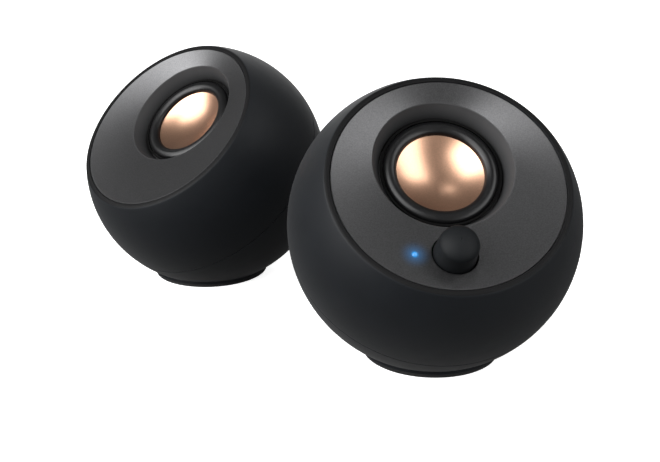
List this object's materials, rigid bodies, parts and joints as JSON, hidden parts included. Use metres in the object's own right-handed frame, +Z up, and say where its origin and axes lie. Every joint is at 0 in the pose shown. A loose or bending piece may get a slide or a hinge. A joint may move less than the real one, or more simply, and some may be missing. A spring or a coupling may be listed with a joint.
{
  "type": "desktop speakers",
  "caption": "Ball-shaped desktop speakers on short round bases, with dished faceplates tilted up, copper cones, a volume knob and passive radiators behind.",
  "frame": {"origin": "centre of the flat underside of the right speaker's foot, on the desk", "axes": "+Z up; the right speaker looks along -Y with its face tilted up; +X runs to its right as seen by the listener"},
  "size_m": [0.2174, 0.2372, 0.1174],
  "materials": {
    "shell_plastic": "matte",
    "faceplate_plastic": "fine-grained satin",
    "frame_plastic": "matte",
    "surround_rubber": "satin",
    "foot_rubber": "matte",
    "knob_rubber": "matte",
    "copper_cone": "satin copper-coloured anodising",
    "basket_paint": "satin",
    "steel": "zinc plated",
    "ferrite": "matte sintered",
    "spider_cloth": "resin-dipped weave",
    "coil_wire": "enamelled copper wire",
    "board_laminate": "solder mask",
    "socket_plastic": "gloss",
    "socket_steel": "bright nickel",
    "light_lens": "clear blue, lit",
    "can_aluminium": "satin",
    "chip_epoxy": "matte"
  },
  "bodies": {
    "cabinets": {"right_front_shell": "shell_plastic", "right_rear_shell": "shell_plastic", "right_faceplate": "faceplate_plastic", "right_inner_frame": "frame_plastic", "right_frame_screw_1": "steel", "right_frame_screw_2": "steel", "right_frame_screw_3": "steel", "right_frame_screw_4": "steel", "right_driver_basket": "basket_paint", "right_driver_surround": "surround_rubber", "right_driver_gasket": "surround_rubber", "right_spider": "spider_cloth", "right_top_plate": "steel", "right_magnet": "ferrite", "right_yoke": "steel", "right_radiator_frame": "frame_plastic", "right_radiator_surround": "surround_rubber", "right_rubber_foot": "foot_rubber", "right_potentiometer": "socket_plastic", "right_status_light": "light_lens", "right_control_board": "board_laminate", "right_socket_panel": "frame_plastic", "right_main_board": "board_laminate", "right_usb_socket": "socket_steel", "right_aux_jack": "socket_plastic", "right_speaker_jack": "socket_plastic", "right_gain_switch": "socket_plastic", "right_capacitor": "can_aluminium", "right_amplifier_chip": "chip_epoxy", "right_heat_sink": "can_aluminium", "left_front_shell": "shell_plastic", "left_rear_shell": "shell_plastic", "left_faceplate": "faceplate_plastic", "left_inner_frame": "frame_plastic", "left_frame_screw_1": "steel", "left_frame_screw_2": "steel", "left_frame_screw_3": "steel", "left_frame_screw_4": "steel", "left_driver_basket": "basket_paint", "left_driver_surround": "surround_rubber", "left_driver_gasket": "surround_rubber", "left_spider": "spider_cloth", "left_top_plate": "steel", "left_magnet": "ferrite", "left_yoke": "steel", "left_radiator_frame": "frame_plastic", "left_radiator_surround": "surround_rubber", "left_rubber_foot": "foot_rubber", "left_socket_panel": "frame_plastic", "left_terminal_board": "board_laminate", "left_input_jack": "socket_plastic"},
    "right_volume": {"right_volume_knob": "knob_rubber", "right_volume_shaft": "steel"},
    "right_gain": {"right_gain_slider": "socket_plastic"},
    "right_cone": {"right_driver_cone": "copper_cone", "right_voice_coil": "coil_wire"},
    "left_cone": {"left_driver_cone": "copper_cone", "left_voice_coil": "coil_wire"},
    "right_radiator": {"right_radiator_plate": "frame_plastic"},
    "left_radiator": {"left_radiator_plate": "frame_plastic"}
  },
  "joints": [
    {"name": "right_volume_turn", "type": "hinge", "parent": "cabinets", "child": "right_volume", "pos_m": [-0.0017, -0.04567, 0.05929], "axis": [0, -0.7071, 0.7071], "range_deg": [-150, 150]},
    {"name": "right_gain_slide", "type": "slide", "parent": "cabinets", "child": "right_gain", "axis": [1, 0, 0], "range_m": [0, 0.002]},
    {"name": "right_cone_travel", "type": "slide", "parent": "cabinets", "child": "right_cone", "axis": [0, -0.7071, 0.7071], "range_m": [-0.002, 0.002], "stiffness_N_per_m": 800, "deforming": ["right_driver_surround", "right_spider"]},
    {"name": "left_cone_travel", "type": "slide", "parent": "cabinets", "child": "left_cone", "axis": [-0.5171, -0.4822, 0.7071], "range_m": [-0.002, 0.002], "stiffness_N_per_m": 800, "deforming": ["left_driver_surround", "left_spider"]},
    {"name": "right_radiator_travel", "type": "slide", "parent": "cabinets", "child": "right_radiator", "axis": [0, 1, 0], "range_m": [-0.003, 0.003], "stiffness_N_per_m": 500, "deforming": ["right_radiator_surround"]},
    {"name": "left_radiator_travel", "type": "slide", "parent": "cabinets", "child": "left_radiator", "axis": [0.7314, 0.682, 0], "range_m": [-0.003, 0.003], "stiffness_N_per_m": 500, "deforming": ["left_radiator_surround"]}
  ]
}
